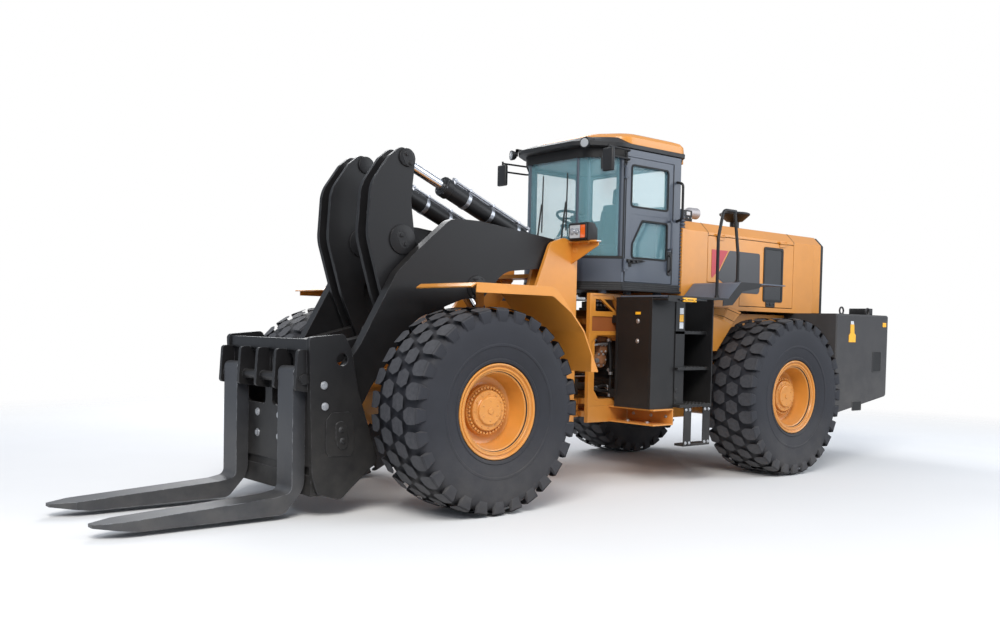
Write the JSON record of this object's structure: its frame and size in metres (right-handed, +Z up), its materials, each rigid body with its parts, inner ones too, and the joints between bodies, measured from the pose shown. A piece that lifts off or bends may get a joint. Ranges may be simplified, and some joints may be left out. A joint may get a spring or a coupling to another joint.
{
  "type": "block handler",
  "caption": "Articulated wheel loader with a cab, a linkage boom and a carriage of long forks for lifting stone blocks.",
  "frame": {"origin": "on the ground below the middle of the whole machine's box, forks lowered", "axes": "+X forward to the fork tips, +Y to the driver's left, +Z up"},
  "size_m": [9.796, 3.0492, 3.63],
  "materials": {
    "yellow_paint": "satin orange-yellow paint",
    "black_paint": "satin black paint",
    "charcoal_paint": "satin charcoal paint",
    "slate_paint": "satin slate-grey paint",
    "dark_grey_paint": "satin dark-grey paint",
    "tyre_rubber": "matt black rubber",
    "chrome_rod": "bright plated piston rods",
    "fork_steel": "black forks worn to grey steel on top",
    "cast_iron": "plain cast iron",
    "clear_glass": "clear tinted glass",
    "black_plastic": "matt black plastic",
    "silver_pipe": "dull silver steel pipe"
  },
  "bodies": {
    "rear_frame": {"rear_frame": "yellow_paint", "hinge_pins": "cast_iron", "rear_axle": "yellow_paint", "transmission": "cast_iron", "engine": "cast_iron", "radiator": "black_plastic", "rear_drive_shaft": "black_paint", "counterweight": "dark_grey_paint", "hood": "yellow_paint", "rear_grille": "black_paint", "exhaust": "silver_pipe", "air_cleaner": "black_plastic", "rear_fenders": "black_paint", "side_boxes": "black_paint", "steps": "black_paint", "handrails": "black_paint", "cab_shell": "slate_paint", "cab_roof": "yellow_paint", "cab_glass": "clear_glass", "seat": "black_plastic", "controls": "black_plastic", "mirrors": "black_plastic", "work_lights": "black_plastic"},
    "cab_door": {"cab_door": "slate_paint", "door_glass": "clear_glass"},
    "hood_door_left": {"hood_door_left": "yellow_paint"},
    "hood_door_right": {"hood_door_right": "yellow_paint"},
    "wheel_rear_left": {"tyre_rear_left": "tyre_rubber", "rim_rear_left": "yellow_paint"},
    "wheel_rear_right": {"tyre_rear_right": "tyre_rubber", "rim_rear_right": "yellow_paint"},
    "front_frame": {"front_frame": "yellow_paint", "front_axle": "yellow_paint", "front_fenders": "yellow_paint", "headlights": "black_plastic", "front_drive_shaft": "black_paint", "tower_core": "yellow_paint"},
    "wheel_front_left": {"tyre_front_left": "tyre_rubber", "rim_front_left": "yellow_paint"},
    "wheel_front_right": {"tyre_front_right": "tyre_rubber", "rim_front_right": "yellow_paint"},
    "steer_barrel_left": {"steer_barrel_left": "black_paint"},
    "steer_rod_left": {"steer_rod_left": "chrome_rod"},
    "steer_barrel_right": {"steer_barrel_right": "black_paint"},
    "steer_rod_right": {"steer_rod_right": "chrome_rod"},
    "boom": {"boom": "charcoal_paint"},
    "lift_barrels": {"lift_barrels": "charcoal_paint"},
    "lift_rods": {"lift_rods": "chrome_rod"},
    "tilt_pins": {"tilt_pins": "cast_iron"},
    "tilt_barrels": {"tilt_barrels": "charcoal_paint"},
    "tilt_rods": {"tilt_rods": "chrome_rod"},
    "bell_cranks": {"bell_cranks": "charcoal_paint"},
    "links": {"links": "charcoal_paint"},
    "carriage": {"carriage": "charcoal_paint", "forks": "fork_steel"}
  },
  "joints": [
    {"name": "articulation", "type": "hinge", "parent": "rear_frame", "child": "front_frame", "pos_m": [-0.168, 0, 1.16], "axis": [0, 0, 1], "range_deg": [-35, 35]},
    {"name": "roll_front_left", "type": "hinge", "parent": "front_frame", "child": "wheel_front_left", "pos_m": [1.952, 1.2, 0.875], "axis": [0, 1, 0], "continuous": true},
    {"name": "roll_front_right", "type": "hinge", "parent": "front_frame", "child": "wheel_front_right", "pos_m": [1.952, -1.2, 0.875], "axis": [0, 1, 0], "continuous": true},
    {"name": "roll_rear_left", "type": "hinge", "parent": "rear_frame", "child": "wheel_rear_left", "pos_m": [-2.288, 1.2, 0.875], "axis": [0, 1, 0], "continuous": true},
    {"name": "roll_rear_right", "type": "hinge", "parent": "rear_frame", "child": "wheel_rear_right", "pos_m": [-2.288, -1.2, 0.875], "axis": [0, 1, 0], "continuous": true},
    {"name": "boom_lift", "type": "hinge", "parent": "front_frame", "child": "boom", "pos_m": [0.377, 0, 2.29], "axis": [0, -1, 0], "range_deg": [0, 50]},
    {"name": "carriage_tilt", "type": "hinge", "parent": "boom", "child": "carriage", "pos_m": [3.022, 0, 0.64], "axis": [0, -1, 0], "range_deg": [-20, 25]},
    {"name": "lift_barrel_turn", "type": "hinge", "parent": "front_frame", "child": "lift_barrels", "pos_m": [0.632, 0, 0.88], "axis": [0, -1, 0], "range_deg": [0, 19.15]},
    {"name": "lift_rod_slide", "type": "slide", "parent": "lift_barrels", "child": "lift_rods", "axis": [0.63, 0, 0.7766], "range_m": [0, 0.858]},
    {"name": "tilt_pin_turn", "type": "hinge", "parent": "front_frame", "child": "tilt_pins", "pos_m": [0.472, 0, 2.34], "axis": [0, -1, 0], "range_deg": [0, 53.73]},
    {"name": "tilt_barrel_nod", "type": "hinge", "parent": "tilt_pins", "child": "tilt_barrels", "pos_m": [0.472, 0, 2.34], "axis": [0, -1, 0], "range_deg": [-2.52, 2.02]},
    {"name": "tilt_rod_slide", "type": "slide", "parent": "tilt_barrels", "child": "tilt_rods", "axis": [0.9234, 0, 0.3839], "range_m": [-0.174, 0.217]},
    {"name": "crank_turn", "type": "hinge", "parent": "boom", "child": "bell_cranks", "pos_m": [2.249, 0, 2.337], "axis": [0, -1, 0], "range_deg": [-18.4, 14.72]},
    {"name": "link_turn", "type": "hinge", "parent": "carriage", "child": "links", "pos_m": [3.019, 0, 1.287], "axis": [0, -1, 0], "range_deg": [-29.27, 23.41]},
    {"name": "steer_barrel_left_turn", "type": "hinge", "parent": "rear_frame", "child": "steer_barrel_left", "pos_m": [-0.948, 0.33, 1.1], "axis": [0, 0, 1], "range_deg": [-12.28, 12.28]},
    {"name": "steer_rod_left_slide", "type": "slide", "parent": "steer_barrel_left", "child": "steer_rod_left", "axis": [0.9967, -0.081, 0], "range_m": [-0.164, 0.164]},
    {"name": "steer_barrel_right_turn", "type": "hinge", "parent": "rear_frame", "child": "steer_barrel_right", "pos_m": [-0.948, -0.33, 1.1], "axis": [0, 0, 1], "range_deg": [-12.28, 12.28]},
    {"name": "steer_rod_right_slide", "type": "slide", "parent": "steer_barrel_right", "child": "steer_rod_right", "axis": [0.9967, 0.081, 0], "range_m": [-0.164, 0.164]},
    {"name": "cab_door_swing", "type": "hinge", "parent": "rear_frame", "child": "cab_door", "pos_m": [-0.243, 0.772, 2.08], "axis": [0, 0, -1], "range_deg": [0, 75]},
    {"name": "hood_door_left_lift", "type": "hinge", "parent": "rear_frame", "child": "hood_door_left", "pos_m": [-3.068, 0.762, 2.66], "axis": [1, 0, 0], "range_deg": [0, 80]},
    {"name": "hood_door_right_lift", "type": "hinge", "parent": "rear_frame", "child": "hood_door_right", "pos_m": [-3.068, -0.762, 2.66], "axis": [-1, 0, 0], "range_deg": [0, 80]}
  ],
  "couplings": [
    {"joint": "lift_barrel_turn", "follows": "boom_lift", "ratio": 0.37542},
    {"joint": "lift_rod_slide", "follows": "boom_lift", "m_per_rad": 0.96345},
    {"joint": "tilt_pin_turn", "follows": "boom_lift", "ratio": 1.0534},
    {"joint": "tilt_barrel_nod", "follows": "carriage_tilt", "ratio": -0.098747},
    {"joint": "tilt_rod_slide", "follows": "carriage_tilt", "m_per_rad": 0.48657},
    {"joint": "crank_turn", "follows": "carriage_tilt", "ratio": -0.72148},
    {"joint": "link_turn", "follows": "carriage_tilt", "ratio": -1.1478},
    {"joint": "steer_barrel_left_turn", "follows": "articulation", "ratio": 0.34381},
    {"joint": "steer_rod_left_slide", "follows": "articulation", "m_per_rad": -0.26237},
    {"joint": "steer_barrel_right_turn", "follows": "articulation", "ratio": 0.34381},
    {"joint": "steer_rod_right_slide", "follows": "articulation", "m_per_rad": 0.26237}
  ]
}
